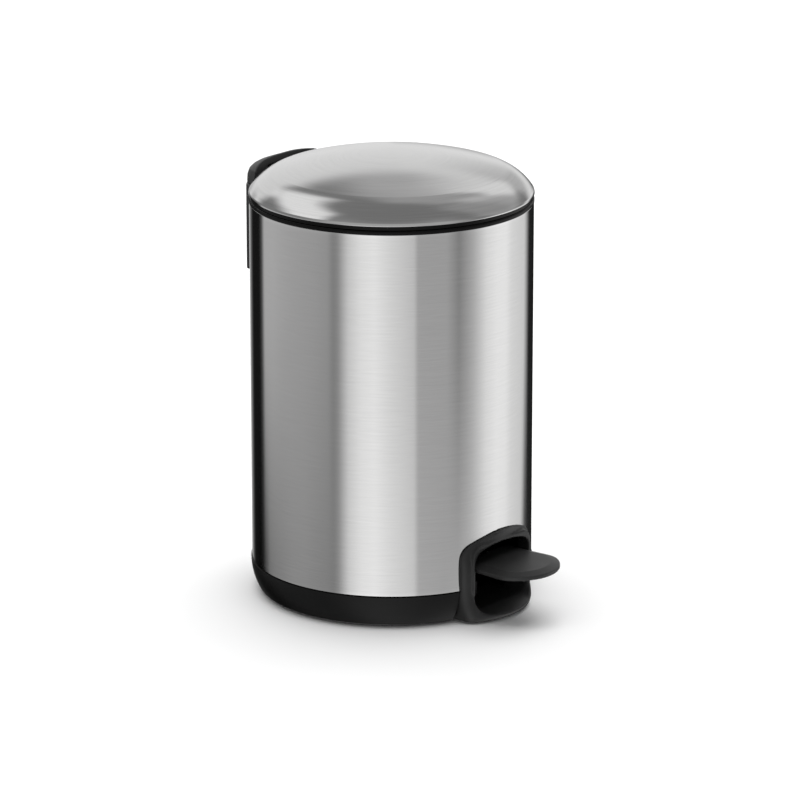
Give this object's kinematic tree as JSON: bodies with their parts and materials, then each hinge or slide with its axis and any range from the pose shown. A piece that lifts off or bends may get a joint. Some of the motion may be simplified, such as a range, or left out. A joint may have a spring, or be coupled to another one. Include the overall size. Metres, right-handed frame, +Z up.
{
  "type": "pedal bin",
  "caption": "Round steel pedal bin with a domed lid, black moulded base, front pedal and a rear hinge; pressing the pedal lifts the lid.",
  "frame": {"origin": "on the can's axis at floor level, in the middle of the rubber ring it stands on", "axes": "+Z up, pedal at -Y, lid hinge at +Y, +X to the right seen from the pedal side"},
  "size_m": [0.1712, 0.2177, 0.2705],
  "materials": {
    "can_steel": "brushed around the can",
    "lid_steel": "fine brushed, polished rim",
    "base_plastic": "matte moulded",
    "frame_plastic": "matte moulded",
    "tread_plastic": "fine moulded grain",
    "hinge_plastic": "matte moulded",
    "lid_plastic": "satin moulded",
    "bucket_plastic": "satin moulded",
    "inner_plastic": "moulded",
    "rubber": "matte",
    "zinc_steel": "zinc plated",
    "wire_steel": "drawn wire"
  },
  "bodies": {
    "can": {"body_shell": "can_steel", "base_tray": "base_plastic", "anti_slip_ring": "rubber", "top_collar": "lid_plastic", "lid_buffers": "rubber", "pedal_surround": "frame_plastic", "pivot_block_left": "inner_plastic", "pivot_block_right": "inner_plastic", "pedal_stop": "rubber", "rod_guide_lower": "inner_plastic", "rod_guide_upper": "inner_plastic", "hinge_bracket": "zinc_steel", "hinge_pin": "zinc_steel", "hinge_housing": "hinge_plastic", "inner_bucket": "bucket_plastic", "bucket_bail": "wire_steel", "base_screws": "zinc_steel", "bracket_screws": "zinc_steel", "guide_screws": "zinc_steel", "housing_screws": "zinc_steel"},
    "lid": {"lid_dome": "lid_steel", "lid_liner": "lid_plastic", "lid_lever": "inner_plastic", "lever_cross_pin": "zinc_steel", "lid_hood": "hinge_plastic", "hood_screws": "zinc_steel"},
    "pedal": {"pedal_lever": "zinc_steel", "lever_bush": "zinc_steel", "pedal_pivot_pin": "zinc_steel", "pedal_tread": "tread_plastic", "tread_rivets": "zinc_steel"},
    "rod": {"push_rod": "zinc_steel", "rod_foot": "inner_plastic", "rod_cap": "inner_plastic"}
  },
  "joints": [
    {"name": "pedal_press", "type": "hinge", "parent": "can", "child": "pedal", "pos_m": [0, 0, 0.0208], "axis": [1, 0, 0], "range_deg": [0, 10.8]},
    {"name": "rod_lift", "type": "slide", "parent": "can", "child": "rod", "axis": [0, 0, 1], "range_m": [0, 0.01539]},
    {"name": "lid_open", "type": "hinge", "parent": "can", "child": "lid", "pos_m": [0, 0.09, 0.248], "axis": [-1, 0, 0], "range_deg": [0, 76]}
  ],
  "couplings": [
    {"joint": "pedal_press", "follows": "lid_open", "ratio": 0.1421},
    {"joint": "rod_lift", "follows": "lid_open", "m_per_rad": 0.0116}
  ]
}
